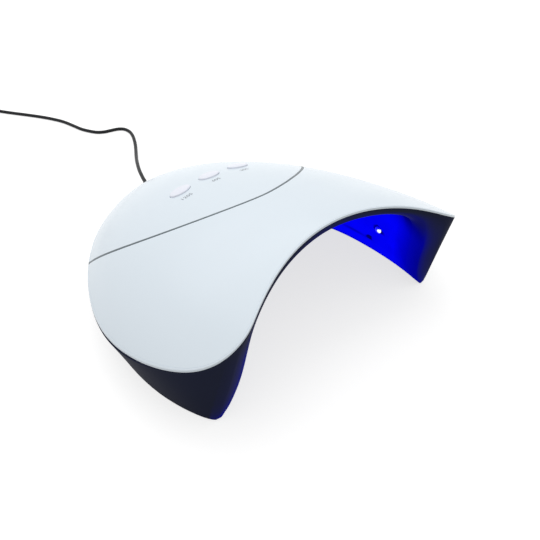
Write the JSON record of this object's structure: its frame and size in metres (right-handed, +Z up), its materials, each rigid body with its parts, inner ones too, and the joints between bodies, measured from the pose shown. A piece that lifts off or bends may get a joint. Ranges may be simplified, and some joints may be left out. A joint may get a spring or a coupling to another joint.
{
  "type": "nail lamp",
  "caption": "Arched desktop nail lamp: white domed cover with a silver line and oval timer buttons, dark housing on two legs, open hand tunnel lit blue, thin USB lead.",
  "frame": {"origin": "middle of the lamp's box at the table, without the lead, plug and strain relief", "axes": "+X to the lamp's right hand side seen from behind its open front, -Y out of the open front, +Z up"},
  "size_m": [0.2, 0.4323, 0.074],
  "materials": {
    "shell": "high gloss white",
    "strip": "satin silver",
    "button": "high gloss white",
    "switch_stem": "moulded",
    "switch_body": "moulded",
    "circuit_board": "solder mask",
    "screw_steel": "plated",
    "housing": "dark grey, half gloss",
    "liner": "reflector lit blue by its lamps",
    "led_lens": "clear dome",
    "sensor_lens": "dark dome",
    "foot_rubber": "matte",
    "lead_jacket": "satin jacket",
    "black_plastic": "moulded",
    "plug_steel": "nickel plated"
  },
  "bodies": {
    "lamp": {"top_shell": "shell", "trim_strip": "strip", "tact_switch_120": "switch_body", "tact_switch_60": "switch_body", "tact_switch_30": "switch_body", "control_board": "circuit_board", "led_strip_left": "circuit_board", "led_strip_right": "circuit_board", "led_strip_ceiling_left": "circuit_board", "led_strip_ceiling_right": "circuit_board", "board_screw_1": "screw_steel", "board_screw_2": "screw_steel", "board_screw_3": "screw_steel", "board_screw_4": "screw_steel", "housing_screw_1": "screw_steel", "housing_screw_2": "screw_steel", "housing_screw_3": "screw_steel", "housing_screw_4": "screw_steel", "clamp_screw_1": "screw_steel", "clamp_screw_2": "screw_steel", "lower_housing": "housing", "cavity_liner": "liner", "led_01": "led_lens", "led_02": "led_lens", "led_03": "led_lens", "led_04": "led_lens", "led_05": "led_lens", "led_06": "led_lens", "led_07": "led_lens", "led_08": "led_lens", "led_09": "led_lens", "led_10": "led_lens", "led_11": "led_lens", "led_12": "led_lens", "ir_emitter": "sensor_lens", "ir_receiver": "sensor_lens", "foot_pad_1": "foot_rubber", "foot_pad_2": "foot_rubber", "foot_pad_3": "foot_rubber", "foot_pad_4": "foot_rubber", "strain_relief": "lead_jacket", "lead_inside": "lead_jacket", "wire_board_left": "lead_jacket", "wire_board_right": "lead_jacket", "wire_side_left": "lead_jacket", "wire_side_right": "lead_jacket", "power_cord": "lead_jacket", "cord_coil": "lead_jacket", "cord_clamp": "black_plastic", "coil_tie": "black_plastic", "usb_plug_body": "black_plastic", "usb_plug_tongue": "black_plastic", "usb_plug_shell": "plug_steel"},
    "button_120": {"timer_button_120": "button", "switch_stem_120": "switch_stem"},
    "button_60": {"timer_button_60": "button", "switch_stem_60": "switch_stem"},
    "button_30": {"timer_button_30": "button", "switch_stem_30": "switch_stem"}
  },
  "joints": [
    {"name": "button_120_press", "type": "slide", "parent": "lamp", "child": "button_120", "axis": [0, 0.2707, 0.9627], "range_m": [-0.0006, 0], "stiffness_N_per_m": 900, "springref_m": 0.0003},
    {"name": "button_60_press", "type": "slide", "parent": "lamp", "child": "button_60", "axis": [0, 0.2707, 0.9627], "range_m": [-0.0006, 0], "stiffness_N_per_m": 900, "springref_m": 0.0003},
    {"name": "button_30_press", "type": "slide", "parent": "lamp", "child": "button_30", "axis": [0, 0.2707, 0.9627], "range_m": [-0.0006, 0], "stiffness_N_per_m": 900, "springref_m": 0.0003}
  ]
}
